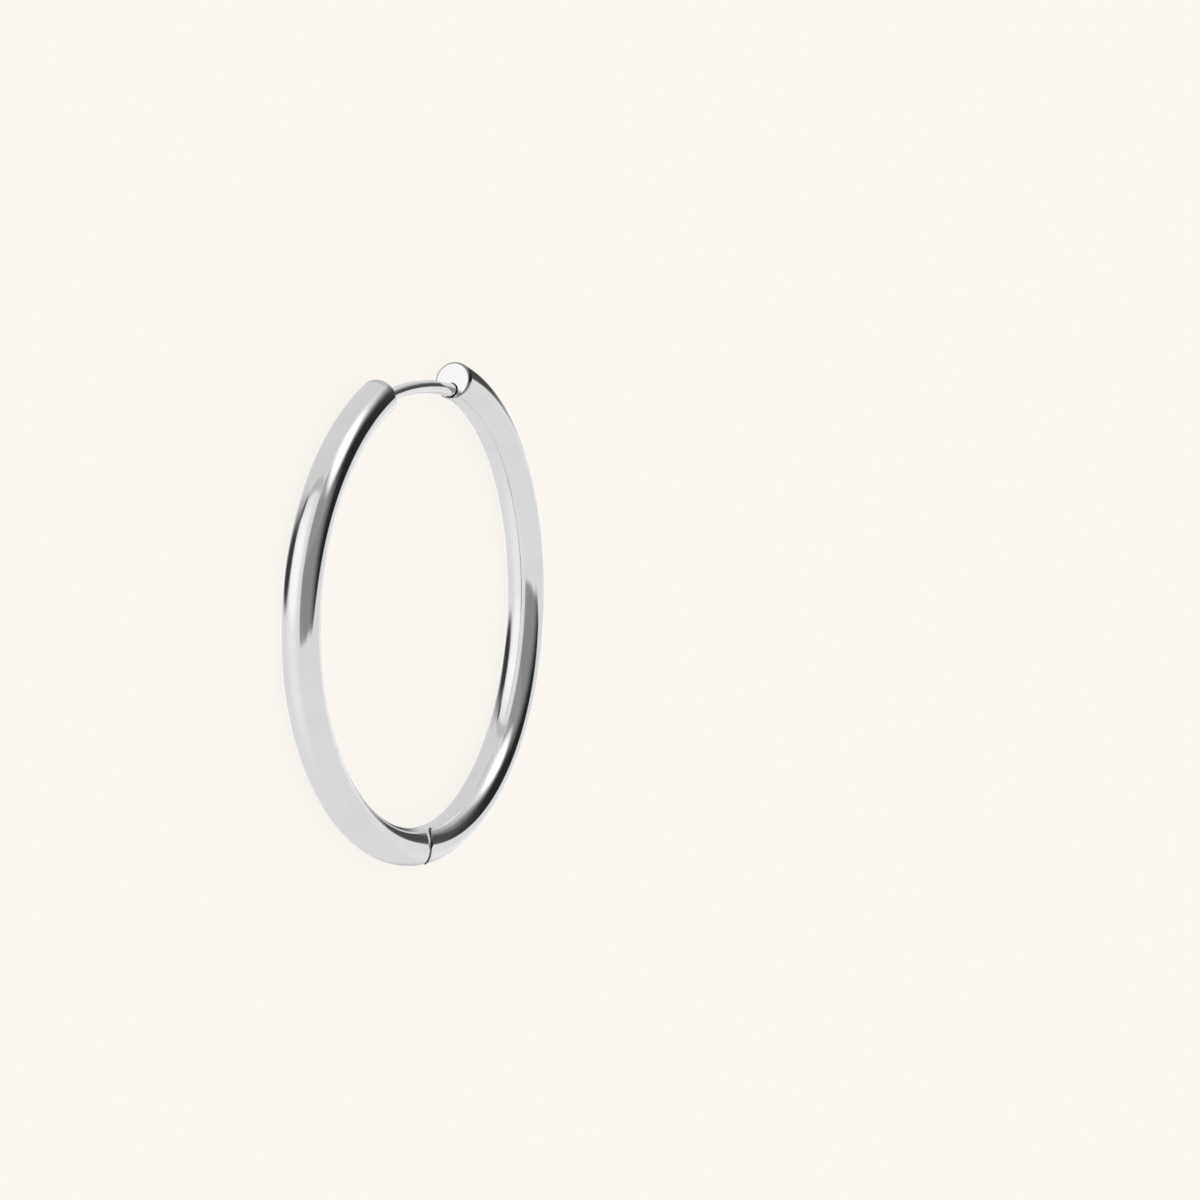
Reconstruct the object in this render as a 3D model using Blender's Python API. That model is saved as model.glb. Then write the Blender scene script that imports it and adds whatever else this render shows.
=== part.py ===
"""Hinged hoop earring lying on its side, modelled in metres with +Z up.

The hoop's plane is level and its bars rest on Z = 0. The origin lies on that resting plane, under the
middle of the hoop. Angles run round the hoop from +X towards +Y: the hinge is at -90 degrees and the
clasp gap, bridged by the ear post, is centred on 90 degrees. The front half is on the -X side and swings
open about the hinge pin, and the back half is on the +X side.
"""

import math

import bmesh
import bpy
from mathutils import Matrix, Vector

MM = 0.001

# Hoop bars
HOOP_RADIUS = 13.85 * MM
HOOP_LOBE = 0.17 * MM
LOBE_COUNT = 3
LOBE_ANGLE = 57.0
BAR_RADIUS = 1.155 * MM
RIM_ROUNDING = 0.20 * MM
CLASP_ANGLE = 90.0
CLASP_HALF_ANGLE = 19.6
HINGE_ANGLE = -90.0

# Hinge
PIN_RADIUS = 0.20 * MM
PIN_CLEARANCE = 0.05 * MM
PIN_END_WALL = 0.10 * MM
PIN_OUTWARD = 0.55 * MM
PIN_SIDEWAYS = 0.40 * MM
EAR_RADIUS = 1.30 * MM
EAR_OUTWARD = 0.12 * MM
EAR_SIDEWAYS = 0.49 * MM
SEAM_GAP = 0.12 * MM
TONGUE_THICKNESS = 0.60 * MM
TONGUE_CLEARANCE = 0.06 * MM

# Ear post and the holes that take it
POST_RADIUS = 0.40 * MM
POST_BEND_RADIUS = 22.0 * MM
POST_INWARD = 0.67 * MM
POST_TOP_SIDEWAYS = -0.30 * MM
POST_TIP_ROUNDING = 0.20 * MM
SOCKET_DEPTH = 1.50 * MM
SOCKET_CLEARANCE = 0.05 * MM
SLOT_DEPTH = 1.00 * MM
SLOT_CLEARANCE = 0.12 * MM
SLOT_END_ROOM = 0.25 * MM

# Fineness of the round shapes
BAR_STEP_ANGLE = 4.0
BAR_BEVEL_RESOLUTION = 12
POST_STEP = 0.55 * MM
POST_BEVEL_RESOLUTION = 4
ROUNDING_STEPS = 4
PIN_SIDES = 16
KNUCKLE_STEP_ANGLE = 7.5
EAR_STEP_ANGLE = 6.0
FACE_SEARCH_STEPS = 8

# A cutter reaches past the stock by this much, and a bar is cut from stock this much longer
REACH = 1.0 * MM
HINGE_END_STOCK = 0.30 * MM

SILVER = {"colour": (0.80, 0.80, 0.81, 1.0), "roughness": 0.08, "metallic": 1.0}
STEEL = {"colour": (0.62, 0.62, 0.63, 1.0), "roughness": 0.20, "metallic": 1.0}


def clear_scene():
    for obj in list(bpy.data.objects):
        bpy.data.objects.remove(obj, do_unlink=True)


def new_collection(name):
    collection = bpy.data.collections.new(name)
    bpy.context.scene.collection.children.link(collection)
    return collection


def new_material(name, finish):
    material = bpy.data.materials.new(name)
    material.use_nodes = True
    shader = material.node_tree.nodes["Principled BSDF"]
    shader.inputs["Base Color"].default_value = finish["colour"]
    shader.inputs["Roughness"].default_value = finish["roughness"]
    shader.inputs["Metallic"].default_value = finish["metallic"]
    return material


# Places round the hoop

def hoop_radius_at(angle):
    """Radius of the bar's centre line: a circle with three very shallow lobes."""
    return HOOP_RADIUS + HOOP_LOBE * math.cos(math.radians(LOBE_COUNT * (angle - LOBE_ANGLE)))


def on_hoop(angle):
    """A point on the bar's centre line."""
    radius = hoop_radius_at(angle)
    turn = math.radians(angle)
    return Vector((radius * math.cos(turn), radius * math.sin(turn), BAR_RADIUS))


# The hinge is drawn in its own frame: x towards the back half, y towards the hoop's middle, and the
# bar's centre line at the origin.
HINGE_FRAME = (Matrix.Translation(on_hoop(HINGE_ANGLE))
               @ Matrix.Rotation(math.radians(HINGE_ANGLE + 90.0), 4, 'Z'))
EAR_CENTRE = Vector((EAR_SIDEWAYS, -EAR_OUTWARD, 0.0))
PIN_CENTRE = Vector((PIN_SIDEWAYS, -PIN_OUTWARD, 0.0))
HINGE_AXIS = HINGE_FRAME @ PIN_CENTRE
KNUCKLE_RADIUS = BAR_RADIUS - PIN_OUTWARD
PIN_HOLE_RADIUS = PIN_RADIUS + PIN_CLEARANCE
PIN_HOLE_HALF_LENGTH = math.sqrt(BAR_RADIUS ** 2 - (PIN_OUTWARD + PIN_HOLE_RADIUS) ** 2) - PIN_END_WALL
PIN_HALF_LENGTH = PIN_HOLE_HALF_LENGTH - PIN_CLEARANCE

# The post is drawn in the clasp's frame: x towards the back half and y outward from the hoop's middle.
CLASP_FRAME = (Matrix.Translation((0.0, 0.0, BAR_RADIUS))
               @ Matrix.Rotation(math.radians(CLASP_ANGLE - 90.0), 4, 'Z'))


def on_post(sideways):
    """A point, in the clasp's frame, on the gentle arch that the post makes over the clasp gap."""
    run = sideways - POST_TOP_SIDEWAYS
    rise = POST_BEND_RADIUS - math.sqrt(POST_BEND_RADIUS ** 2 - run ** 2)
    return Vector((sideways, hoop_radius_at(CLASP_ANGLE) - POST_INWARD - rise, 0.0))


def post_at_face(side):
    """Where the post's centre line meets a bar's clasp face: side is -1 at the front half, +1 at the back."""
    slope = side * math.tan(math.radians(CLASP_HALF_ANGLE))
    sideways = 0.0
    for _ in range(FACE_SEARCH_STEPS):
        sideways = slope * on_post(sideways).y
    return sideways


# Curves and solids

def rounded_end_radii(full_radius, rounding):
    """Distances from the end, and radii there, that round an end's rim with a quarter circle."""
    steps = []
    for index in range(ROUNDING_STEPS + 1):
        turn = math.radians(90.0 * index / ROUNDING_STEPS)
        distance = rounding * (1.0 - math.cos(turn))
        steps.append((distance, full_radius - rounding + rounding * math.sin(turn)))
    return steps


def wire_solid(name, points, radii, frame, bevel_resolution, collection):
    """A round wire along the points, which are in the given frame."""
    curve = bpy.data.curves.new(name + "_path", 'CURVE')
    curve.dimensions = '3D'
    curve.twist_mode = 'Z_UP'
    curve.bevel_depth = 1.0
    curve.bevel_resolution = bevel_resolution
    curve.use_fill_caps = True
    spline = curve.splines.new('POLY')
    spline.points.add(len(points) - 1)
    for target, point, radius in zip(spline.points, points, radii):
        target.co = (point.x, point.y, point.z, 1.0)
        target.radius = radius
    wire = bpy.data.objects.new(name + "_path", curve)
    wire.matrix_world = frame
    return curve_made_mesh(name, wire, collection)


def curve_made_mesh(name, curve_object, collection):
    """Takes a curve object's shape as a closed mesh in a new object, and removes the curve."""
    curve = curve_object.data
    bpy.context.scene.collection.objects.link(curve_object)
    bpy.context.view_layer.update()
    evaluated = curve_object.evaluated_get(bpy.context.evaluated_depsgraph_get())
    mesh = bpy.data.meshes.new_from_object(evaluated)
    weld_and_face_out(mesh)
    solid = bpy.data.objects.new(name, mesh)
    solid.matrix_world = curve_object.matrix_world
    collection.objects.link(solid)
    bpy.data.objects.remove(curve_object, do_unlink=True)
    bpy.data.curves.remove(curve)
    return solid


def weld_and_face_out(mesh):
    shape = bmesh.new()
    shape.from_mesh(mesh)
    bmesh.ops.remove_doubles(shape, verts=shape.verts, dist=0.001 * MM)
    bmesh.ops.recalc_face_normals(shape, faces=shape.faces)
    shape.to_mesh(mesh)
    shape.free()


def outline_solid(name, outline, half_thickness, collection):
    """A flat outline in the hinge's frame, thickened evenly about the middle of the bar."""
    curve = bpy.data.curves.new(name + "_outline", 'CURVE')
    curve.dimensions = '2D'
    curve.fill_mode = 'BOTH'
    curve.extrude = half_thickness
    spline = curve.splines.new('POLY')
    spline.points.add(len(outline) - 1)
    for target, (x, y) in zip(spline.points, outline):
        target.co = (x, y, 0.0, 1.0)
    spline.use_cyclic_u = True
    flat = bpy.data.objects.new(name + "_outline", curve)
    flat.matrix_world = HINGE_FRAME
    return curve_made_mesh(name, flat, collection)


def upright_cylinder(name, centre, radius, half_length, sides, collection):
    mesh = bpy.data.meshes.new(name)
    shape = bmesh.new()
    bmesh.ops.create_cone(shape, cap_ends=True, segments=sides, radius1=radius, radius2=radius,
                          depth=2.0 * half_length)
    shape.to_mesh(mesh)
    shape.free()
    solid = bpy.data.objects.new(name, mesh)
    solid.location = centre
    collection.objects.link(solid)
    return solid


def boolean(target, other, operation):
    modifier = target.modifiers.new(operation.lower() + "_" + other.name, 'BOOLEAN')
    modifier.operation = operation
    modifier.object = other
    modifier.solver = 'EXACT'


def as_cutter(solid):
    solid.hide_render = True
    solid.display_type = 'WIRE'


def smooth(solid):
    solid.data.shade_smooth()
    solid.data.set_sharp_from_angle(angle=math.radians(35.0))


# Sub-parts

def hoop_bar(name, clasp_end_angle, hinge_end_angle, collection):
    """A round bar from its clasp end, whose rim is rounded, to its hinge end."""
    direction = math.copysign(1.0, hinge_end_angle - clasp_end_angle)
    angles = []
    radii = []
    for distance, radius in rounded_end_radii(BAR_RADIUS, RIM_ROUNDING):
        angles.append(clasp_end_angle + direction * math.degrees(distance / HOOP_RADIUS))
        radii.append(radius)
    first = angles[-1]
    count = math.ceil(abs(hinge_end_angle - first) / BAR_STEP_ANGLE)
    for index in range(1, count + 1):
        angles.append(first + (hinge_end_angle - first) * index / count)
        radii.append(BAR_RADIUS)
    points = [on_hoop(angle) for angle in angles]
    return wire_solid(name, points, radii, Matrix.Identity(4), BAR_BEVEL_RESOLUTION, collection)


def seam_cutter(name, radius, side, collection):
    """What lies past the seam, a round line about the ears' centre.

    side is +1 for the stock on the back half's side of the seam, and -1 for the front half's side.
    """
    count = math.ceil(180.0 / EAR_STEP_ANGLE)
    outline = []
    for index in range(count + 1):
        turn = math.radians(90.0 + 180.0 * index / count)
        outline.append((EAR_CENTRE.x + radius * math.cos(turn), EAR_CENTRE.y + radius * math.sin(turn)))
    clear_y = BAR_RADIUS + EAR_OUTWARD + REACH
    far_x = EAR_CENTRE.x + side * (EAR_RADIUS + HINGE_END_STOCK + REACH)
    outline += [(EAR_CENTRE.x, -clear_y), (far_x, -clear_y), (far_x, clear_y), (EAR_CENTRE.x, clear_y)]
    return outline_solid(name, outline, BAR_RADIUS + REACH, collection)


def tongue_solid(name, clearance, collection):
    """The tongue with its round knuckle on the pin, grown by the clearance."""
    radius = KNUCKLE_RADIUS + clearance
    low_y = -BAR_RADIUS - REACH
    left_x = EAR_CENTRE.x - EAR_RADIUS - REACH
    outline = [(PIN_CENTRE.x, low_y), (left_x, low_y), (left_x, PIN_CENTRE.y + radius)]
    count = math.ceil(180.0 / KNUCKLE_STEP_ANGLE)
    for index in range(count + 1):
        turn = math.radians(90.0 - 180.0 * index / count)
        outline.append((PIN_CENTRE.x + radius * math.cos(turn), PIN_CENTRE.y + radius * math.sin(turn)))
    return outline_solid(name, outline, TONGUE_THICKNESS / 2 + clearance, collection)


def post_wire(name, from_x, to_x, radius, rounding, collection):
    """A round wire along the post's arch; the rim of its far end may be rounded."""
    straight_end = to_x - rounding
    count = math.ceil((straight_end - from_x) / POST_STEP)
    places = [from_x + (straight_end - from_x) * index / count for index in range(count)]
    radii = [radius] * count
    if rounding:
        for distance, rounded in reversed(rounded_end_radii(radius, rounding)):
            places.append(to_x - distance)
            radii.append(rounded)
    else:
        places.append(to_x)
        radii.append(radius)
    points = [on_post(place) for place in places]
    return wire_solid(name, points, radii, CLASP_FRAME, POST_BEVEL_RESOLUTION, collection)


def build_front_half(parts, cutters):
    """The -X bar: a socket for the post at its clasp end, and a tongue on the pin at its hinge end."""
    hinge_end = HINGE_ANGLE + 360.0 + math.degrees(
        (PIN_SIDEWAYS + KNUCKLE_RADIUS + HINGE_END_STOCK) / HOOP_RADIUS)
    bar = hoop_bar("front_half", CLASP_ANGLE + CLASP_HALF_ANGLE, hinge_end, parts)

    past_seam = seam_cutter("front_seam_cutter", EAR_RADIUS + SEAM_GAP / 2, 1, cutters)
    tongue = tongue_solid("tongue", 0.0, cutters)
    boolean(past_seam, tongue, 'DIFFERENCE')
    as_cutter(tongue)
    pin_hole = upright_cylinder("tongue_pin_hole", HINGE_AXIS, PIN_HOLE_RADIUS,
                                TONGUE_THICKNESS / 2 + REACH, PIN_SIDES, cutters)
    face_x = post_at_face(-1)
    socket = post_wire("post_socket", face_x - SOCKET_DEPTH - SOCKET_CLEARANCE, face_x + REACH,
                       POST_RADIUS + SOCKET_CLEARANCE, 0.0, cutters)
    for cutter in (past_seam, pin_hole, socket):
        boolean(bar, cutter, 'DIFFERENCE')
        as_cutter(cutter)
    return bar


def build_back_half(parts, cutters):
    """The +X bar: a slot for the post's tip at its clasp end, and two ears round the tongue."""
    hinge_end = HINGE_ANGLE - math.degrees((EAR_RADIUS - EAR_SIDEWAYS + HINGE_END_STOCK) / HOOP_RADIUS)
    bar = hoop_bar("back_half", CLASP_ANGLE - CLASP_HALF_ANGLE, hinge_end, parts)

    past_seam = seam_cutter("back_seam_cutter", EAR_RADIUS - SEAM_GAP / 2, -1, cutters)
    tongue_room = tongue_solid("tongue_room", TONGUE_CLEARANCE, cutters)
    pin_hole = upright_cylinder("ear_pin_hole", HINGE_AXIS, PIN_HOLE_RADIUS, PIN_HOLE_HALF_LENGTH,
                                PIN_SIDES, cutters)
    face_x = post_at_face(1)
    slot = post_wire("post_slot", face_x - REACH, face_x + SLOT_DEPTH + SLOT_END_ROOM,
                     POST_RADIUS + SLOT_CLEARANCE, 0.0, cutters)
    for cutter in (past_seam, tongue_room, pin_hole, slot):
        boolean(bar, cutter, 'DIFFERENCE')
        as_cutter(cutter)
    return bar


def build_ear_post(parts):
    """The wire that goes through the ear: fixed in the front half, free to leave the back half's slot."""
    return post_wire("ear_post", post_at_face(-1) - SOCKET_DEPTH, post_at_face(1) + SLOT_DEPTH,
                     POST_RADIUS, POST_TIP_ROUNDING, parts)


def build_hinge_pin(parts):
    return upright_cylinder("hinge_pin", HINGE_AXIS, PIN_RADIUS, PIN_HALF_LENGTH, PIN_SIDES, parts)


def hang_on_hinge(pieces, parts):
    """Parents the pieces that swing to an empty that stands on the hinge's axis."""
    hinge = bpy.data.objects.new("hinge_axis", None)
    hinge.location = HINGE_AXIS
    parts.objects.link(hinge)
    bpy.context.view_layer.update()
    for piece in pieces:
        piece.parent = hinge
        piece.matrix_parent_inverse = hinge.matrix_world.inverted()


def main():
    clear_scene()
    parts = new_collection("hoop_earring")
    cutters = new_collection("cutters")
    silver = new_material("polished_silver", SILVER)
    steel = new_material("pin_steel", STEEL)

    front_half = build_front_half(parts, cutters)
    back_half = build_back_half(parts, cutters)
    ear_post = build_ear_post(parts)
    hinge_pin = build_hinge_pin(parts)
    hang_on_hinge((front_half, ear_post), parts)

    for piece in (front_half, back_half, ear_post):
        piece.data.materials.append(silver)
        smooth(piece)
    hinge_pin.data.materials.append(steel)
    smooth(hinge_pin)


main()
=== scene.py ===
"""A hinged hoop earring in polished silver, lying on its side, dressed for a soft studio picture.

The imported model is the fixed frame, in metres with +Z up. The hoop's plane is level and its bars rest on
Z = 0. Angles run round the hoop from +X towards +Y: the hinge is at -90 degrees, and the clasp gap that the
ear post bridges is centred on 90 degrees. The front half is on the -X side, the back half on the +X side.
"""

import math

import bmesh
import bpy
from mathutils import Matrix, Vector


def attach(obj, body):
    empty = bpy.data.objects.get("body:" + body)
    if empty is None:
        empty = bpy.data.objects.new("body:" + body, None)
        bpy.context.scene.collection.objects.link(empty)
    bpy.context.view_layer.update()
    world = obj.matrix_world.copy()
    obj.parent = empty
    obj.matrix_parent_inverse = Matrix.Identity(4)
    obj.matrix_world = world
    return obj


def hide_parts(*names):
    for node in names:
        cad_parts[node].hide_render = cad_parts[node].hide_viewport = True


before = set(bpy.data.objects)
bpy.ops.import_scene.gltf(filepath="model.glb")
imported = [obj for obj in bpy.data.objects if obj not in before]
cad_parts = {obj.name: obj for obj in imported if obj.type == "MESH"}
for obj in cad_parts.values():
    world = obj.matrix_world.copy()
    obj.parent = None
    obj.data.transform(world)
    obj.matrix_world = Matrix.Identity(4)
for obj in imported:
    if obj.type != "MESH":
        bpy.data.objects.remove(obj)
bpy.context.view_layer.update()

MM = 0.001

# Hoop bars, as in the part's source
HOOP_RADIUS = 13.85 * MM
HOOP_LOBE = 0.17 * MM
LOBE_COUNT = 3
LOBE_ANGLE = 57.0
BAR_RADIUS = 1.155 * MM
CLASP_ANGLE = 90.0
CLASP_HALF_ANGLE = 19.6
HINGE_ANGLE = -90.0
CLASP_END_HALF_ANGLE = 18.7
CLASP_RIM_DEPTH = 0.28 * MM
CLASP_RIM_WIDTH = 0.09 * MM

# Hinge
PIN_RADIUS = 0.20 * MM
PIN_CLEARANCE = 0.05 * MM
PIN_END_WALL = 0.10 * MM
PIN_OUTWARD = 0.55 * MM
PIN_SIDEWAYS = 0.40 * MM
EAR_RADIUS = 1.30 * MM
EAR_OUTWARD = 0.12 * MM
EAR_SIDEWAYS = 0.49 * MM
SEAM_GAP = 0.15 * MM
SEAM_ROUNDING = 0.22 * MM
TONGUE_RADIUS = 0.50 * MM
TONGUE_THICKNESS = 0.60 * MM
TONGUE_ROUNDING = 0.05 * MM
TONGUE_REACH = 1.50 * MM
TONGUE_CLEARANCE = 0.06 * MM

# Ear post and the holes that take it
POST_RADIUS = 0.40 * MM
POST_BEND_RADIUS = 22.0 * MM
POST_INWARD = 0.67 * MM
POST_TOP_SIDEWAYS = -0.30 * MM
POST_TIP_ROUNDING = 0.18 * MM
SOCKET_DEPTH = 1.50 * MM
SOCKET_CLEARANCE = 0.02 * MM
SLOT_DEPTH = 1.00 * MM
SLOT_CLEARANCE = 0.06 * MM
SLOT_END_ROOM = 0.25 * MM

# Painted shade line round the clasp rims, a dark line that stands in for the shade and dark reflections
# there: how far along the bar from the clasp face it starts to fade and ends, how deep under the bar's
# surface it begins and is full, and how much it widens towards the hoop's outside
RIM_LINE_START = 0.20 * MM
RIM_LINE_END = 0.28 * MM
RIM_LINE_INNER = 0.15 * MM
RIM_LINE_OUTER = 0.10 * MM
RIM_LINE_LEAN = 0.20

# Painted shade line along the seam, a dark line that stands in for the shade in the gap: how deep inside
# the back half's wall it begins, is full, fades and ends
SEAM_LINE_START = 0.03 * MM
SEAM_LINE_FULL = 0.06 * MM
SEAM_LINE_FADE = 0.10 * MM
SEAM_LINE_END = 0.15 * MM

# Fineness of the meshes
SECTION_SIDES = 72
BAR_STEP_ANGLE = 1.2
POST_SIDES = 48
POST_STEP_ANGLE = 0.9
ROUNDING_STEPS = 6
ROUND_PROFILE = 0.5
TONGUE_ROUNDING_STEPS = 3
SEAM_APPROACH = 1.30 * MM
SEAM_APPROACH_STEPS = 5
CLASP_APPROACH = SEAM_APPROACH / 4
SEAM_SEARCH_STEPS = 5
FACE_SEARCH_STEPS = 8
SUPPORT = 0.015 * MM
WALL_STEPS = 5
KNUCKLE_SIDES = 96
PIN_HOLE_SIDES = 48
CUTTER_REACH = 1.0 * MM
WELD = 0.0005 * MM
WIRE_END_TOLERANCE = 0.05
SHARP_ANGLE = 32.0


# Places round the hoop

def hoop_radius_at(angle):
    """Radius of the bar's centre line: a circle with three very shallow lobes."""
    return HOOP_RADIUS + HOOP_LOBE * math.cos(math.radians(LOBE_COUNT * (angle - LOBE_ANGLE)))


def on_bar(angle, outward, up):
    """The point this far outward and up from the bar's centre line."""
    radius = hoop_radius_at(angle) + outward
    turn = math.radians(angle)
    return Vector((radius * math.cos(turn), radius * math.sin(turn), BAR_RADIUS + up))


def place_in_bar(point):
    """The angle round the hoop, and the outward and upward distances from the bar's centre line."""
    angle = math.degrees(math.atan2(point.y, point.x))
    return angle, math.hypot(point.x, point.y) - hoop_radius_at(angle), point.z - BAR_RADIUS


HINGE_MIDDLE = on_bar(HINGE_ANGLE, 0.0, 0.0)
PIN_MIDDLE = HINGE_MIDDLE + Vector((PIN_SIDEWAYS, -PIN_OUTWARD, 0.0))
SEAM_MIDDLE = HINGE_MIDDLE + Vector((EAR_SIDEWAYS, -EAR_OUTWARD, 0.0))
PIN_HOLE_RADIUS = PIN_RADIUS + PIN_CLEARANCE
PIN_HOLE_HALF_LENGTH = math.sqrt(BAR_RADIUS ** 2 - (PIN_OUTWARD + PIN_HOLE_RADIUS) ** 2) - PIN_END_WALL
KNUCKLE_RADIUS = BAR_RADIUS - PIN_OUTWARD
POST_BEND_MIDDLE = Vector((POST_TOP_SIDEWAYS, hoop_radius_at(CLASP_ANGLE) - POST_INWARD - POST_BEND_RADIUS,
                           BAR_RADIUS))


def seam_line(radius):
    """A function from outward distance to the angle round the hoop where the seam's round line is."""
    def angle_at(outward):
        angle = HINGE_ANGLE
        for _ in range(SEAM_SEARCH_STEPS):
            point = on_bar(angle, outward, 0.0)
            rise = point.y - HINGE_MIDDLE.y + EAR_OUTWARD
            sideways = EAR_SIDEWAYS - math.sqrt(max(0.0, radius ** 2 - rise ** 2))
            angle = HINGE_ANGLE + math.degrees(math.asin(sideways / (hoop_radius_at(angle) + outward)))
        return angle
    return angle_at


def flat_end(angle):
    """The same for a bar's end that is cut straight across."""
    return lambda outward: angle


def turn_to_post_face(side):
    """Turn about the bend's middle, in degrees from +Y, where the post meets a bar's clasp face."""
    slope = side * math.tan(math.radians(CLASP_HALF_ANGLE))
    sideways = 0.0
    for _ in range(FACE_SEARCH_STEPS):
        rise = math.sqrt(POST_BEND_RADIUS ** 2 - (sideways - POST_TOP_SIDEWAYS) ** 2)
        sideways = slope * (POST_BEND_MIDDLE.y + rise)
    return math.degrees(math.asin((sideways - POST_TOP_SIDEWAYS) / POST_BEND_RADIUS))


# Working by hand in edit mode

def deselect_all():
    bpy.ops.object.select_all(action='DESELECT')


def make_active(piece):
    deselect_all()
    piece.select_set(True)
    bpy.context.view_layer.objects.active = piece


def edit(piece):
    make_active(piece)
    bpy.ops.object.mode_set(mode='EDIT')
    bpy.ops.mesh.select_mode(type='VERT')


def leave_edit():
    bpy.ops.object.mode_set(mode='OBJECT')


def named(name):
    piece = bpy.context.active_object
    piece.name = name
    piece.data.name = name
    bpy.ops.object.transform_apply(location=True, rotation=True, scale=True)
    return piece


def add_ring(name, radius, sides, middle, turn):
    """An upright circle that faces along the hoop at this turn."""
    deselect_all()
    bpy.ops.mesh.primitive_circle_add(vertices=sides, radius=radius, fill_type='NOTHING', location=middle,
                                      rotation=(math.radians(90.0), 0.0, turn))
    return named(name)


def spin_ring(piece, middle, sweep, steps):
    """Sweeps the ring about an upright axis; a positive sweep goes from +X towards +Y."""
    edit(piece)
    bpy.ops.mesh.select_all(action='SELECT')
    bpy.ops.mesh.spin(steps=steps, angle=-sweep, center=middle, axis=(0.0, 0.0, 1.0))
    leave_edit()


def select_vertices(piece, wanted):
    """Selects, in edit mode, the vertices whose place passes the test."""
    bpy.ops.mesh.select_all(action='DESELECT')
    shape = bmesh.from_edit_mesh(piece.data)
    for vertex in shape.verts:
        vertex.select_set(wanted(vertex.co))
    shape.select_flush(True)
    bmesh.update_edit_mesh(piece.data)


def move_selected(piece, new_place):
    shape = bmesh.from_edit_mesh(piece.data)
    for vertex in shape.verts:
        if vertex.select:
            vertex.co = new_place(vertex.co)
    bmesh.update_edit_mesh(piece.data)


def weld_and_face_out(piece):
    edit(piece)
    bpy.ops.mesh.select_all(action='SELECT')
    bpy.ops.mesh.remove_doubles(threshold=WELD)
    bpy.ops.mesh.normals_make_consistent(inside=False)
    leave_edit()


def finish_shading(piece):
    make_active(piece)
    bpy.ops.object.shade_smooth_by_angle(angle=math.radians(SHARP_ANGLE))


def join_or_cut(piece, other, operation):
    """Joins the other solid to the piece, or cuts it out, and removes it."""
    modifier = piece.modifiers.new(other.name, 'BOOLEAN')
    modifier.operation = operation
    modifier.solver = 'EXACT'
    modifier.object = other
    make_active(piece)
    bpy.ops.object.modifier_apply(modifier=modifier.name)
    bpy.data.objects.remove(other, do_unlink=True)


# The two bars

def rounded_rim(depth, width):
    """Setbacks from the end and insets from the bar's surface that round a rim with a quarter oval."""
    steps = [(depth + SUPPORT, 0.0)]
    for index in range(ROUNDING_STEPS + 1):
        turn = math.radians(90.0 * index / ROUNDING_STEPS)
        steps.append((depth * (1.0 - math.sin(turn)), width * (1.0 - math.cos(turn))))
    steps.append((0.0, width + SUPPORT))
    return steps


def extrude_ring(piece, end_line, into_bar, setback, inset, share=1.0):
    """Extrudes the selected end ring and draws it towards the end's line, inset from the bar's surface."""
    bpy.ops.mesh.extrude_region()

    def drawn(point):
        angle, outward, up = place_in_bar(point)
        shrink = (BAR_RADIUS - inset) / math.hypot(outward, up)
        outward *= shrink
        up *= shrink
        target = end_line(outward) + into_bar * math.degrees(setback / HOOP_RADIUS)
        return on_bar(angle + (target - angle) * share, outward, up)

    move_selected(piece, drawn)


def finish_bar_end(piece, ring_angle, end_line, into_bar, rim, flat):
    """Draws a bar's open end out to its end line, rounds the rim and closes it."""
    edit(piece)
    tolerance = BAR_STEP_ANGLE / 4
    select_vertices(piece, lambda point: abs(place_in_bar(point)[0] - ring_angle) < tolerance)
    for index in range(1, SEAM_APPROACH_STEPS):
        extrude_ring(piece, end_line, into_bar, rim[0][0], 0.0, 1.0 / (SEAM_APPROACH_STEPS + 1 - index))
    for setback, inset in rim:
        extrude_ring(piece, end_line, into_bar, setback, inset)
    if flat:
        bpy.ops.mesh.edge_face_add()
    else:
        for index in range(WALL_STEPS):
            left = WALL_STEPS - index
            bpy.ops.mesh.extrude_region()
            bpy.ops.transform.resize(value=(1.0, 1.0, (left - 1) / left),
                                     center_override=(0.0, 0.0, BAR_RADIUS))
    leave_edit()


def hoop_bar(name, side, seam_radius):
    """A round bar from its clasp face to the seam; side is -1 for the front half and +1 for the back."""
    clasp = CLASP_ANGLE - side * CLASP_END_HALF_ANGLE
    first = clasp - side * math.degrees((CLASP_RIM_DEPTH + CLASP_APPROACH) / HOOP_RADIUS)
    last = HINGE_ANGLE + side * math.degrees(SEAM_APPROACH / HOOP_RADIUS)
    if side < 0:
        last += 360.0
    sweep = last - first
    steps = math.ceil(abs(sweep) / BAR_STEP_ANGLE)
    turn = math.radians(first)
    middle = Vector((HOOP_RADIUS * math.cos(turn), HOOP_RADIUS * math.sin(turn), BAR_RADIUS))
    bar = add_ring(name, BAR_RADIUS, SECTION_SIDES, middle, turn)
    spin_ring(bar, (0.0, 0.0, BAR_RADIUS), math.radians(sweep), steps)

    # The hoop is very slightly out of round
    edit(bar)
    bpy.ops.mesh.select_all(action='SELECT')

    def eased(point):
        radius = math.hypot(point.x, point.y)
        turn_here = math.degrees(math.atan2(point.y, point.x))
        grown = (radius + hoop_radius_at(turn_here) - HOOP_RADIUS) / radius
        return Vector((point.x * grown, point.y * grown, point.z))

    move_selected(bar, eased)
    leave_edit()

    if last > 180.0:
        last -= 360.0
    clasp_rim = rounded_rim(CLASP_RIM_DEPTH, CLASP_RIM_WIDTH)
    seam_rim = rounded_rim(SEAM_ROUNDING, SEAM_ROUNDING)
    finish_bar_end(bar, first, flat_end(clasp), -side, clasp_rim, True)
    finish_bar_end(bar, last, seam_line(seam_radius), side, seam_rim, False)
    weld_and_face_out(bar)
    return bar


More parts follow.
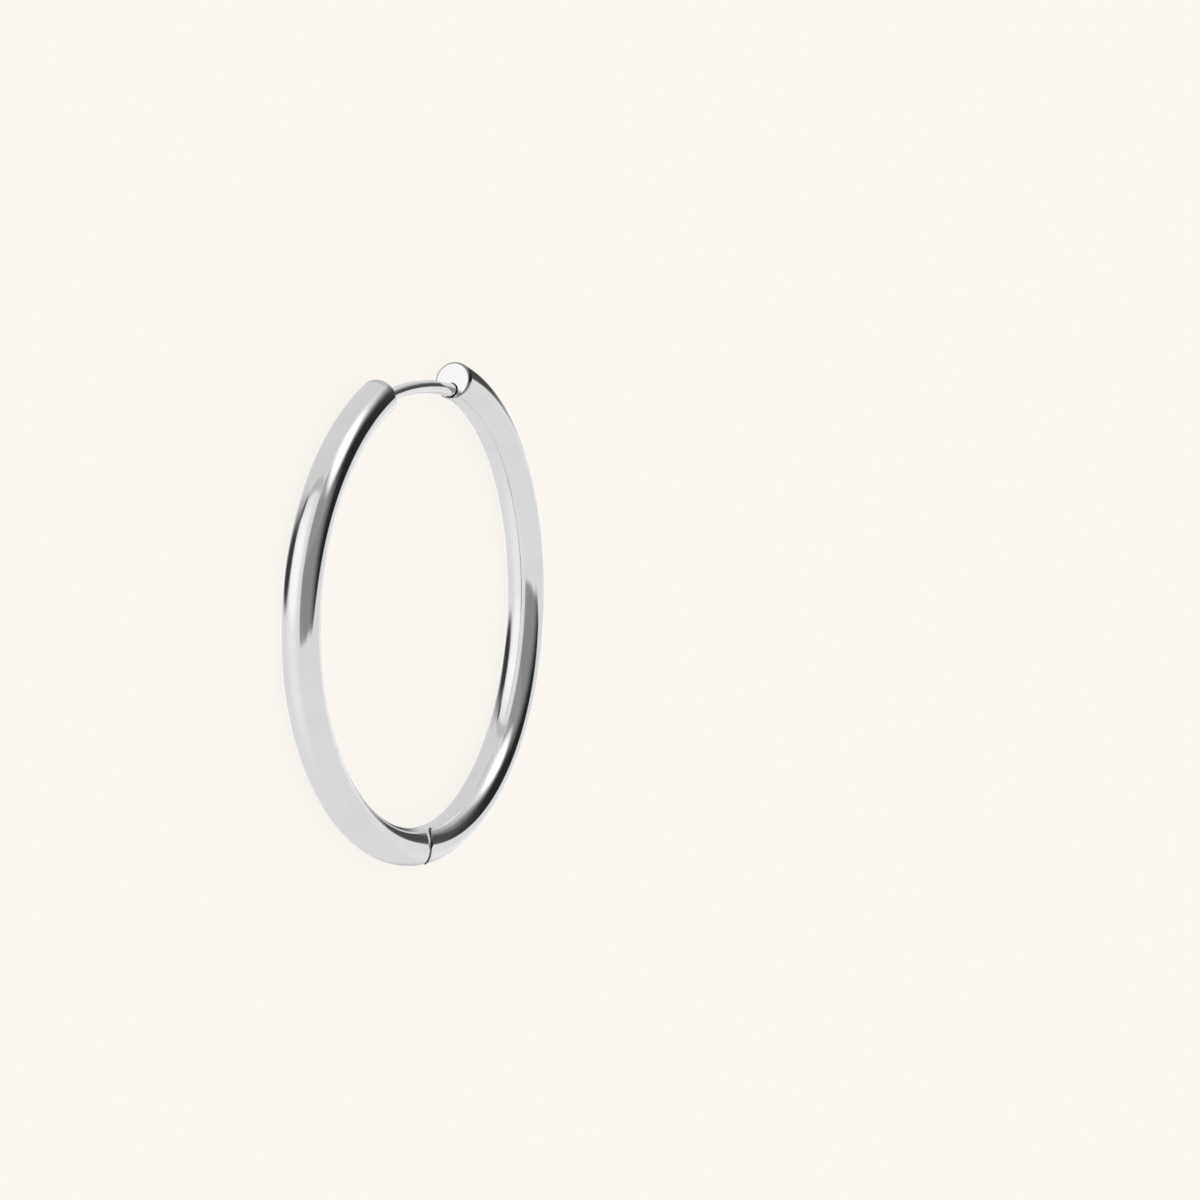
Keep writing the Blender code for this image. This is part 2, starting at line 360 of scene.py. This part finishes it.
def knuckle_solid(name, radius, half_thickness, stretch):
    """A round knuckle on the pin, stretched towards the front half."""
    deselect_all()
    bpy.ops.mesh.primitive_cylinder_add(vertices=KNUCKLE_SIDES, radius=radius, depth=2.0 * half_thickness,
                                        location=PIN_MIDDLE)
    solid = named(name)
    edit(solid)
    select_vertices(solid, lambda point: point.x < PIN_MIDDLE.x - WELD)
    bpy.ops.transform.translate(value=(-stretch, 0.0, 0.0))
    leave_edit()
    return solid


def upright_hole(name, half_length):
    deselect_all()
    bpy.ops.mesh.primitive_cylinder_add(vertices=PIN_HOLE_SIDES, radius=PIN_HOLE_RADIUS,
                                        depth=2.0 * half_length, location=PIN_MIDDLE)
    return named(name)


def at_turn(turn):
    """A test for vertices at this turn along the post's arch."""
    def test(point):
        place = point - POST_BEND_MIDDLE
        return abs(math.degrees(math.atan2(place.x, place.y)) - turn) < WIRE_END_TOLERANCE
    return test


def bent_wire(name, radius, from_turn, to_turn):
    """A round wire along the post's arch, with flat ends; turns are in degrees from the arch's top."""
    start = math.radians(90.0 - from_turn)
    middle = POST_BEND_MIDDLE + POST_BEND_RADIUS * Vector((math.cos(start), math.sin(start), 0.0))
    wire = add_ring(name, radius, POST_SIDES, middle, start)
    steps = math.ceil((to_turn - from_turn) / POST_STEP_ANGLE)
    spin_ring(wire, POST_BEND_MIDDLE, -math.radians(to_turn - from_turn), steps)
    edit(wire)
    for end in (from_turn, to_turn):
        select_vertices(wire, at_turn(end))
        bpy.ops.mesh.edge_face_add()
    leave_edit()
    weld_and_face_out(wire)
    return wire


def post_turn(length):
    """The turn that this length of the post's arch takes up."""
    return math.degrees(length / POST_BEND_RADIUS)


def model_front_half():
    bar = hoop_bar("front_half_polished", -1, EAR_RADIUS + SEAM_GAP / 2)
    tongue = knuckle_solid("tongue", TONGUE_RADIUS, TONGUE_THICKNESS / 2, TONGUE_REACH)
    bevel = tongue.modifiers.new("soft_edges", 'BEVEL')
    bevel.width = TONGUE_ROUNDING
    bevel.segments = TONGUE_ROUNDING_STEPS
    bevel.limit_method = 'ANGLE'
    make_active(tongue)
    bpy.ops.object.modifier_apply(modifier=bevel.name)
    join_or_cut(bar, tongue, 'UNION')
    join_or_cut(bar, upright_hole("tongue_pin_hole", TONGUE_THICKNESS), 'DIFFERENCE')
    face = turn_to_post_face(-1)
    socket = bent_wire("post_socket", POST_RADIUS + SOCKET_CLEARANCE,
                       face - post_turn(SOCKET_DEPTH + SOCKET_CLEARANCE), face + post_turn(CUTTER_REACH))
    join_or_cut(bar, socket, 'DIFFERENCE')
    finish_shading(bar)
    return bar


def model_back_half():
    bar = hoop_bar("back_half_polished", 1, EAR_RADIUS - SEAM_GAP / 2)
    room = knuckle_solid("tongue_room", KNUCKLE_RADIUS + TONGUE_CLEARANCE,
                         TONGUE_THICKNESS / 2 + TONGUE_CLEARANCE, 2.0 * EAR_RADIUS)
    join_or_cut(bar, room, 'DIFFERENCE')
    join_or_cut(bar, upright_hole("ear_pin_hole", PIN_HOLE_HALF_LENGTH), 'DIFFERENCE')
    face = turn_to_post_face(1)
    slot = bent_wire("post_slot", POST_RADIUS + SLOT_CLEARANCE, face - post_turn(CUTTER_REACH),
                     face + post_turn(SLOT_DEPTH + SLOT_END_ROOM))
    join_or_cut(bar, slot, 'DIFFERENCE')
    finish_shading(bar)
    return bar


def model_ear_post():
    """The wire that goes through the ear, with a softly rounded tip."""
    tip = turn_to_post_face(1) + post_turn(SLOT_DEPTH)
    post = bent_wire("ear_post_polished", POST_RADIUS, turn_to_post_face(-1) - post_turn(SOCKET_DEPTH), tip)
    edit(post)
    select_vertices(post, at_turn(tip))
    bpy.ops.mesh.bevel(offset=POST_TIP_ROUNDING, segments=ROUNDING_STEPS, profile=ROUND_PROFILE,
                       affect='EDGES')
    leave_edit()
    weld_and_face_out(post)
    finish_shading(post)
    return post


# Finishes

# Each finish: its clean and its worn colour; its roughness when clean and when smudged; the size of its
# smudges and scratches in millimetres; the share of it that is scratched; and how deep its marks are
POLISHED_SILVER = {
    "clean_colour": (0.915, 0.915, 0.918, 1.0),
    "worn_colour": (0.885, 0.884, 0.880, 1.0),
    "roughness": 0.045,
    "smudged_roughness": 0.075,
    "smudge_size": 2.6,
    "scratch_size": 0.8,
    "scratch_share": 0.42,
    "scratch_depth": 0.0004 * MM,
    "wave_depth": 0.004 * MM,
}
# The post's colour is set a little lighter than the hoop's silver, painted light that makes the post show
# brighter under the same panels; its roughness and marks are its own finish
POST_SILVER = {
    "clean_colour": (0.965, 0.965, 0.967, 1.0),
    "worn_colour": (0.93, 0.928, 0.922, 1.0),
    "roughness": 0.06,
    "smudged_roughness": 0.10,
    "smudge_size": 1.2,
    "scratch_size": 0.5,
    "scratch_share": 0.5,
    "scratch_depth": 0.0004 * MM,
    "wave_depth": 0.003 * MM,
}
PIN_STEEL = {
    "clean_colour": (0.62, 0.62, 0.63, 1.0),
    "worn_colour": (0.50, 0.50, 0.50, 1.0),
    "roughness": 0.20,
    "smudged_roughness": 0.32,
    "smudge_size": 0.6,
    "scratch_size": 0.3,
    "scratch_share": 0.6,
    "scratch_depth": 0.001 * MM,
    "wave_depth": 0.001 * MM,
}
# Painted shade: the dark colour painted along the clasp rims and the seam for the shade and dark
# reflections there, and how strongly it shows on the back and the front rims
PAINTED_SHADE = (0.055, 0.055, 0.058, 1.0)
BACK_RIM_SHADE_SHARE = 0.72
FRONT_RIM_SHADE_SHARE = 0.22

# The noises behind the marks
NOISE_MIDDLE = 0.5
SMUDGE_DETAIL = 4.0
SMUDGE_FINENESS = 0.55
SMUDGE_START = 0.38
SMUDGE_FULL = 0.68
SCRATCH_TURN = (0.4, 0.7, 0.2)
SCRATCH_SQUEEZE = (1.0, 0.25, 1.6)
SCRATCH_DETAIL = 2.0
SCRATCH_WIDTH = 0.008
SCRATCHED_PATCHES_PER_MM = 0.7
WAVES_PER_MM = 0.45
WAVE_DETAIL = 1.0

# Sockets of Blender's Mix node, which repeats their names for each kind of value
MIX_SHARE = 0
MIX_FIRST_VALUE = 2
MIX_SECOND_VALUE = 3
MIXED_VALUE = 0
MIX_FIRST_COLOUR = 6
MIX_SECOND_COLOUR = 7
MIXED_COLOUR = 2


def new_node(tree, kind, **settings):
    node = tree.nodes.new(kind)
    for name, value in settings.items():
        setattr(node, name, value)
    return node


def feed(tree, socket, value):
    """Gives the socket a fixed value or another node's output."""
    if isinstance(value, bpy.types.NodeSocket):
        tree.links.new(value, socket)
    else:
        socket.default_value = value


def math_node(tree, operation, first, second=None, third=None):
    node = new_node(tree, 'ShaderNodeMath', operation=operation)
    for socket, value in zip(node.inputs, (first, second, third)):
        if value is not None:
            feed(tree, socket, value)
    return node.outputs[0]


def length_of(tree, first, second):
    """The length of the vector with these two parts."""
    squares = math_node(tree, 'ADD', math_node(tree, 'MULTIPLY', first, first),
                        math_node(tree, 'MULTIPLY', second, second))
    return math_node(tree, 'SQRT', squares)


def smooth_step(tree, value, start, stop):
    """0 where the value is at the start, 1 where it is at the stop; the start may be the larger."""
    step = new_node(tree, 'ShaderNodeMapRange', interpolation_type='SMOOTHSTEP')
    feed(tree, step.inputs["Value"], value)
    feed(tree, step.inputs["From Min"], start)
    feed(tree, step.inputs["From Max"], stop)
    return step.outputs["Result"]


def mix_colours(tree, share, first, second):
    mixed = new_node(tree, 'ShaderNodeMix', data_type='RGBA')
    feed(tree, mixed.inputs[MIX_SHARE], share)
    feed(tree, mixed.inputs[MIX_FIRST_COLOUR], first)
    feed(tree, mixed.inputs[MIX_SECOND_COLOUR], second)
    return mixed.outputs[MIXED_COLOUR]


def mix_values(tree, share, first, second):
    mixed = new_node(tree, 'ShaderNodeMix', data_type='FLOAT')
    feed(tree, mixed.inputs[MIX_SHARE], share)
    feed(tree, mixed.inputs[MIX_FIRST_VALUE], first)
    feed(tree, mixed.inputs[MIX_SECOND_VALUE], second)
    return mixed.outputs[MIXED_VALUE]


def noise(tree, place, scale, detail):
    """A noise over the piece; the scale is a number or another node's output."""
    node = new_node(tree, 'ShaderNodeTexNoise')
    node.inputs["Detail"].default_value = detail
    tree.links.new(place, node.inputs["Vector"])
    feed(tree, node.inputs["Scale"], scale)
    return node


def bump(tree, height, distance, normal=None, invert=False):
    node = new_node(tree, 'ShaderNodeBump', invert=invert)
    node.inputs["Distance"].default_value = distance
    tree.links.new(height, node.inputs["Height"])
    if normal is not None:
        tree.links.new(normal, node.inputs["Normal"])
    return node.outputs["Normal"]


def new_group(name, inputs, outputs):
    group = bpy.data.node_groups.new(name, 'ShaderNodeTree')
    for label, value in inputs:
        socket = group.interface.new_socket(label, in_out='INPUT', socket_type='NodeSocketFloat')
        socket.default_value = value
    for label in outputs:
        group.interface.new_socket(label, in_out='OUTPUT', socket_type='NodeSocketFloat')
    return group, new_node(group, 'NodeGroupInput'), new_node(group, 'NodeGroupOutput')


def handling_marks_group():
    """Marks that polished metal picks up: soft smudges, hairline scratches and a faint polishing wave."""
    group, given, result = new_group(
        "handling_marks",
        (("Smudge Size", 1.0), ("Scratch Size", 1.0), ("Scratch Share", NOISE_MIDDLE)),
        ("Smudges", "Scratches", "Polish Wave"))
    place = new_node(group, 'ShaderNodeTexCoord').outputs["Object"]
    per_mm = 1.0 / MM

    smudge_scale = math_node(group, 'DIVIDE', per_mm, given.outputs["Smudge Size"])
    smudges = noise(group, place, smudge_scale, SMUDGE_DETAIL)
    smudges.inputs["Roughness"].default_value = SMUDGE_FINENESS
    soft = smooth_step(group, smudges.outputs[0], SMUDGE_START, SMUDGE_FULL)
    group.links.new(soft, result.inputs["Smudges"])

    # A hairline runs where a squeezed noise passes through its middle value
    squeezed = new_node(group, 'ShaderNodeMapping')
    squeezed.inputs["Rotation"].default_value = SCRATCH_TURN
    squeezed.inputs["Scale"].default_value = SCRATCH_SQUEEZE
    group.links.new(place, squeezed.inputs["Vector"])
    scratch_scale = math_node(group, 'DIVIDE', per_mm, given.outputs["Scratch Size"])
    lines = noise(group, squeezed.outputs[0], scratch_scale, SCRATCH_DETAIL)
    past_middle = math_node(group, 'SUBTRACT', lines.outputs[0], NOISE_MIDDLE)
    off_middle = math_node(group, 'ABSOLUTE', past_middle)
    hairline = smooth_step(group, off_middle, SCRATCH_WIDTH, 0.0)
    patches = noise(group, place, SCRATCHED_PATCHES_PER_MM * per_mm, SCRATCH_DETAIL)
    worn = math_node(group, 'LESS_THAN', patches.outputs[0], given.outputs["Scratch Share"])
    group.links.new(math_node(group, 'MULTIPLY', hairline, worn), result.inputs["Scratches"])

    wave = noise(group, place, WAVES_PER_MM * per_mm, WAVE_DETAIL)
    group.links.new(wave.outputs[0], result.inputs["Polish Wave"])
    return group


def painted_shade_lines_group():
    """Painted shade: dark lines along the rims of the clasp faces and along the seam, for the shade and
    dark reflections there.
    """
    group, given, result = new_group(
        "edge_lines",
        (("Back Rim Shade Share", BACK_RIM_SHADE_SHARE), ("Front Rim Shade Share", FRONT_RIM_SHADE_SHARE)),
        ("Painted Shade Lines",))
    axes = new_node(group, 'ShaderNodeSeparateXYZ')
    group.links.new(new_node(group, 'ShaderNodeTexCoord').outputs["Object"], axes.inputs[0])
    x, y, z = axes.outputs

    # How far along the bar from its clasp face, and how far out from the bar's centre line
    turn = math_node(group, 'ARCTAN2', y, x)
    past_clasp = math_node(group, 'SUBTRACT', turn, math.radians(CLASP_ANGLE))
    off_clasp = math_node(group, 'ABSOLUTE', past_clasp)
    past_face = math_node(group, 'SUBTRACT', off_clasp, math.radians(CLASP_END_HALF_ANGLE))
    from_face = math_node(group, 'MULTIPLY', past_face, HOOP_RADIUS)
    lobe_start = -math.radians(LOBE_COUNT * LOBE_ANGLE)
    lobe_turn = math_node(group, 'MULTIPLY_ADD', turn, float(LOBE_COUNT), lobe_start)
    lobe = math_node(group, 'COSINE', lobe_turn)
    hoop_radius = math_node(group, 'MULTIPLY_ADD', lobe, HOOP_LOBE, HOOP_RADIUS)
    outward = math_node(group, 'SUBTRACT', length_of(group, x, y), hoop_radius)
    up = math_node(group, 'SUBTRACT', z, BAR_RADIUS)
    from_middle = length_of(group, outward, up)

    # Painted shade and dark reflection along the clasp rims, leaning outward and stronger on the back half
    leaning = math_node(group, 'MULTIPLY_ADD', outward, -RIM_LINE_LEAN, from_face)
    on_rim = smooth_step(group, leaning, RIM_LINE_END, RIM_LINE_START)
    near_surface = smooth_step(group, from_middle, BAR_RADIUS - RIM_LINE_INNER,
                               BAR_RADIUS - RIM_LINE_OUTER)
    on_back = math_node(group, 'GREATER_THAN', x, 0.0)
    more_on_back = math_node(group, 'SUBTRACT', given.outputs["Back Rim Shade Share"],
                             given.outputs["Front Rim Shade Share"])
    share = math_node(group, 'MULTIPLY_ADD', on_back, more_on_back, given.outputs["Front Rim Shade Share"])
    rim = math_node(group, 'MULTIPLY', math_node(group, 'MULTIPLY', on_rim, near_surface), share)

    # Painted shade inside the seam: how deep inside the back half's round wall at the seam
    sideways = math_node(group, 'SUBTRACT', x, SEAM_MIDDLE.x)
    rise = math_node(group, 'SUBTRACT', y, SEAM_MIDDLE.y)
    wall_radius = EAR_RADIUS - SEAM_GAP / 2
    depth = math_node(group, 'SUBTRACT', wall_radius, length_of(group, sideways, rise))
    past_wall = smooth_step(group, depth, SEAM_LINE_START, SEAM_LINE_FULL)
    before_end = smooth_step(group, depth, SEAM_LINE_END, SEAM_LINE_FADE)
    on_seam_side = math_node(group, 'LESS_THAN', sideways, 0.0)
    line = math_node(group, 'MULTIPLY', past_wall, before_end)
    seam = math_node(group, 'MULTIPLY', line, on_seam_side)
    group.links.new(math_node(group, 'MAXIMUM', rim, seam), result.inputs["Painted Shade Lines"])
    return group


def add_painted_shade_lines(material, edges):
    """Darkens the material's colour along its edge lines: painted shade and dark reflections at the clasp
    rims and the seam.
    """
    tree = material.node_tree
    colour = tree.nodes["Principled BSDF"].inputs["Base Color"]
    plain = colour.links[0].from_socket
    lines = new_node(tree, 'ShaderNodeGroup', node_tree=edges)
    tree.links.new(mix_colours(tree, lines.outputs["Painted Shade Lines"], plain, PAINTED_SHADE), colour)


def polished_metal(name, marks, clean_colour, worn_colour, roughness, smudged_roughness, smudge_size,
                   scratch_size, scratch_share, scratch_depth, wave_depth):
    """Polished metal: the marks group varies its colour, its roughness and its surface a little."""
    material = bpy.data.materials.new(name)
    material.use_nodes = True
    tree = material.node_tree
    shader = tree.nodes["Principled BSDF"]
    shader.inputs["Metallic"].default_value = 1.0
    worn = new_node(tree, 'ShaderNodeGroup', node_tree=marks)
    worn.inputs["Smudge Size"].default_value = smudge_size
    worn.inputs["Scratch Size"].default_value = scratch_size
    worn.inputs["Scratch Share"].default_value = scratch_share

    colour = mix_colours(tree, worn.outputs["Smudges"], clean_colour, worn_colour)
    tree.links.new(colour, shader.inputs["Base Color"])

    dull = new_node(tree, 'ShaderNodeMapRange')
    dull.inputs["To Min"].default_value = roughness
    dull.inputs["To Max"].default_value = smudged_roughness
    tree.links.new(worn.outputs["Smudges"], dull.inputs["Value"])
    scratched = math_node(tree, 'MULTIPLY_ADD', worn.outputs["Scratches"], smudged_roughness,
                          dull.outputs["Result"])
    tree.links.new(scratched, shader.inputs["Roughness"])

    waved = bump(tree, worn.outputs["Polish Wave"], wave_depth)
    marked = bump(tree, worn.outputs["Scratches"], scratch_depth, waved, True)
    tree.links.new(marked, shader.inputs["Normal"])
    return material


# The studio

CREAM = (0.974, 0.930, 0.880, 1.0)
WHITE = (1.0, 1.0, 1.0, 1.0)
SILVER_REFLECTANCE = 0.90
DISPLAY_POWER = 2.2
LIGHTEST_GREY = 255.0
HUNDREDTHS = 100.0

# Each panel of the studio that the metal mirrors: longitude and latitude of its middle, half its width and
# height and its turn, in degrees; how square its corners are; how soft its edge is, as a share of its half
# size; and how light it shows in the silver, from 0 to 255. A later panel covers the ones before it: first
# come the walls, then the ceiling and the floor, then the cards
WALL_PANELS = (
    ("far_wall", 128, 53, 68, 32, 0, 6.0, 0.08, 142),
    ("flag_fade", 38, 33, 17, 13, 0, 2.4, 0.60, 150),
    ("edge_fade", 25, 8, 11, 34, 0, 2.4, 0.50, 172),
    ("dark_flag", 18, 59, 50, 26, 13, 3.5, 0.42, 44),
    ("front_card", -83, 9, 86, 73.5, 0, 4.2, 0.03, 213),
    ("right_card", 66, -24, 48, 40, 0, 6.0, 0.08, 205),
    ("softbox_side", 85, 36, 22, 17, -6, 2.6, 0.36, 262),
    ("light_strip", 40, 4, 12, 2.5, 0, 3.0, 0.40, 238),
)
CARD_PANELS = (
    ("card_edge", -33, -18, 8, 11, 0, 2.0, 0.50, 194),
    ("card_glow", -24, 12, 12, 15, 0, 2.4, 0.50, 222),
    ("glow_low", 188, -22, 46, 28, 0, 3.0, 0.60, 226),
    ("softbox_frame", 154, -17, 35, 37, 0, 3.5, 0.10, 214),
    ("softbox_low", 155, -23, 29, 24, 0, 3.0, 0.55, 245),
    ("gap_by_softbox", 116, -8, 3.5, 34, 0, 4.0, 0.50, 180),
    ("gap_below", 117, -50, 6, 10, 0, 3.0, 0.40, 90),
    ("edge_dark", 10.5, 6, 9.7, 32, -18, 3.0, 0.45, 72),
    ("card_rim", -12, 22, 15, 9, -18, 6.0, 0.08, 216),
    ("edge_glow", -11, -28, 14, 42, 0, 3.5, 0.30, 245),
)
STUDIO_GREY = 213

# Puts the ceiling's panels out of reach of directions that point down, and the floor's out of reach of
# those that point up
FAR_OFF = 1000.0

# The same for the panels over and under the part, but their middle and half size are given in the sideways
# parts of the direction, along X and Y, in hundredths
CEILING_PANELS = (
    ("wall_top", -25, 18, 60, 27, 0, 6.0, 0.10, 132),
    ("flag_top", 58, 8, 47, 45, 0, 2.4, 0.75, 40),
    ("ceiling_card", 5, -46, 110, 35, 8, 6.0, 0.06, 213),
)
FLOOR_PANELS = (
    ("dark_floor", -13, 18, 52, 27, -34, 2.4, 0.50, 58),
    ("floor_card", 0, -34, 75, 35, 0, 6.0, 0.17, 214),
)


def light_for(grey):
    """Brightness of a panel that shows as this grey in the silver."""
    return (grey / LIGHTEST_GREY) ** DISPLAY_POWER / SILVER_REFLECTANCE


PANEL_SHAPE = ("Middle Across", "Middle Rise", "Half Width", "Half Height", "Turn", "Squareness",
               "Softness")


def studio_panel_group():
    """How far a direction lies inside a panel with rounded corners, from 0 to 1."""
    group, given, result = new_group(
        "studio_panel",
        [("Across", 0.0), ("Rise", 0.0)] + [(label, 1.0) for label in PANEL_SHAPE],
        ("Inside",))
    value = given.outputs
    past_middle = math_node(group, 'SUBTRACT', value["Across"], value["Middle Across"])
    across = math_node(group, 'WRAP', past_middle, 180.0, -180.0)
    rise = math_node(group, 'SUBTRACT', value["Rise"], value["Middle Rise"])
    turn = math_node(group, 'RADIANS', value["Turn"])
    cosine = math_node(group, 'COSINE', turn)
    sine = math_node(group, 'SINE', turn)
    along_width = math_node(group, 'ADD', math_node(group, 'MULTIPLY', across, cosine),
                            math_node(group, 'MULTIPLY', rise, sine))
    along_height = math_node(group, 'SUBTRACT', math_node(group, 'MULTIPLY', rise, cosine),
                             math_node(group, 'MULTIPLY', across, sine))
    powers = []
    for distance, half in ((along_width, value["Half Width"]), (along_height, value["Half Height"])):
        share = math_node(group, 'DIVIDE', math_node(group, 'ABSOLUTE', distance), half)
        powers.append(math_node(group, 'POWER', share, value["Squareness"]))
    reach = math_node(group, 'POWER', math_node(group, 'ADD', powers[0], powers[1]),
                      math_node(group, 'DIVIDE', 1.0, value["Squareness"]))
    outer = math_node(group, 'ADD', 1.0, value["Softness"])
    inner = math_node(group, 'SUBTRACT', 1.0, value["Softness"])
    group.links.new(smooth_step(group, reach, outer, inner), result.inputs["Inside"])
    return group


def add_panel(tree, group, panel, across, rise, level):
    """Lays one panel over the studio's light so far and returns the light with it."""
    name, *shape, grey = panel
    node = new_node(tree, 'ShaderNodeGroup', node_tree=group, label=name)
    tree.links.new(across, node.inputs["Across"])
    tree.links.new(rise, node.inputs["Rise"])
    for label, value in zip(PANEL_SHAPE, shape):
        node.inputs[label].default_value = value
    return mix_values(tree, node.outputs["Inside"], level, light_for(grey))


def light_studio():
    """A cream room for the floor and the background, and a room of soft panels that the metal mirrors."""
    world = bpy.data.worlds.new("studio")
    bpy.context.scene.world = world
    world.use_nodes = True
    tree = world.node_tree
    tree.nodes.clear()
    direction = new_node(tree, 'ShaderNodeTexCoord').outputs["Generated"]
    axes = new_node(tree, 'ShaderNodeSeparateXYZ')
    tree.links.new(direction, axes.inputs[0])
    x, y, z = axes.outputs
    longitude = math_node(tree, 'DEGREES', math_node(tree, 'ARCTAN2', y, x))
    latitude = math_node(tree, 'DEGREES', math_node(tree, 'ARCSINE', z))

    group = studio_panel_group()
    level = light_for(STUDIO_GREY)
    for panel in WALL_PANELS:
        level = add_panel(tree, group, panel, longitude, latitude, level)
    along_x = math_node(tree, 'MULTIPLY', x, HUNDREDTHS)
    along_y = math_node(tree, 'MULTIPLY', y, HUNDREDTHS)
    looks_down = math_node(tree, 'LESS_THAN', z, 0.0)
    looks_up = math_node(tree, 'GREATER_THAN', z, 0.0)
    above_y = math_node(tree, 'MULTIPLY_ADD', looks_down, FAR_OFF, along_y)
    below_y = math_node(tree, 'MULTIPLY_ADD', looks_up, FAR_OFF, along_y)
    for panel in CEILING_PANELS:
        level = add_panel(tree, group, panel, along_x, above_y, level)
    for panel in FLOOR_PANELS:
        level = add_panel(tree, group, panel, along_x, below_y, level)
    for panel in CARD_PANELS:
        level = add_panel(tree, group, panel, longitude, latitude, level)

    mirrored = new_node(tree, 'ShaderNodeBackground')
    mirrored.inputs["Color"].default_value = WHITE
    tree.links.new(level, mirrored.inputs["Strength"])
    room = new_node(tree, 'ShaderNodeBackground')
    room.inputs["Color"].default_value = CREAM
    choice = new_node(tree, 'ShaderNodeMixShader')
    tree.links.new(new_node(tree, 'ShaderNodeLightPath').outputs["Is Glossy Ray"], choice.inputs[0])
    tree.links.new(room.outputs[0], choice.inputs[1])
    tree.links.new(mirrored.outputs[0], choice.inputs[2])
    output = new_node(tree, 'ShaderNodeOutputWorld')
    tree.links.new(choice.outputs[0], output.inputs["Surface"])


FLOOR_SIZE = 3.0
FLOOR_GLOW = 0.88


def lay_floor():
    """A plain pale floor, mostly self-lit so that the hoop's shadow on it stays faint."""
    deselect_all()
    bpy.ops.mesh.primitive_plane_add(size=FLOOR_SIZE, location=(0.0, 0.0, 0.0))
    floor = named("floor")
    material = bpy.data.materials.new("pale_floor")
    material.use_nodes = True
    tree = material.node_tree
    shader = tree.nodes["Principled BSDF"]
    unlit = 1.0 - FLOOR_GLOW
    shader.inputs["Base Color"].default_value = (unlit, unlit, unlit, 1.0)
    shader.inputs["Roughness"].default_value = 1.0
    shader.inputs["Specular IOR Level"].default_value = 0.0
    shader.inputs["Emission Color"].default_value = CREAM
    shader.inputs["Emission Strength"].default_value = FLOOR_GLOW
    floor.data.materials.append(material)
    floor.visible_glossy = False


# The camera stands where the photograph was taken from: round the hoop's middle and above its plane, and
# rolled so that the hoop stands upright in the picture
CAMERA_PLACE = HOOP_RADIUS * Vector((-26.2388, 3.5014, 14.2163)) + Vector((0.0, 0.0, BAR_RADIUS))
CAMERA_RIGHT = Vector((0.45298, -0.00522, 0.89151))
CAMERA_UP = Vector((0.10496, 0.99334, -0.04751))
CAMERA_AHEAD = Vector((0.88532, -0.11509, -0.45051))
CAMERA_LENS = 213.0
CAMERA_SENSOR = 36.0
CAMERA_NEAR = 0.01
CAMERA_FAR = 10.0


def place_camera():
    data = bpy.data.cameras.new("camera")
    data.lens = CAMERA_LENS
    data.sensor_width = CAMERA_SENSOR
    data.clip_start = CAMERA_NEAR
    data.clip_end = CAMERA_FAR
    camera = bpy.data.objects.new("camera", data)
    bpy.context.scene.collection.objects.link(camera)
    axes = Matrix((CAMERA_RIGHT, CAMERA_UP, -CAMERA_AHEAD)).transposed().to_4x4()
    camera.matrix_world = Matrix.Translation(CAMERA_PLACE) @ axes
    bpy.context.scene.camera = camera
    bpy.context.scene.view_settings.view_transform = 'Standard'


# Putting the part together

def dress(piece, material, body, node):
    piece.data.materials.clear()
    piece.data.materials.append(material)
    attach(piece, body)
    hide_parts(node)


def main():
    place_camera()
    light_studio()
    lay_floor()

    marks = handling_marks_group()
    silver = polished_metal("polished_silver", marks, **POLISHED_SILVER)
    # Painted shade: dark lines along the clasp rims and the seam
    add_painted_shade_lines(silver, painted_shade_lines_group())
    post_silver = polished_metal("post_silver", marks, **POST_SILVER)
    steel = polished_metal("pin_steel", marks, **PIN_STEEL)

    dress(model_front_half(), silver, "front", "front_half")
    dress(model_back_half(), silver, "back", "back_half")
    dress(model_ear_post(), post_silver, "front", "ear_post")

    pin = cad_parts["hinge_pin"]
    for place in pin.material_slots:
        place.material = steel


main()
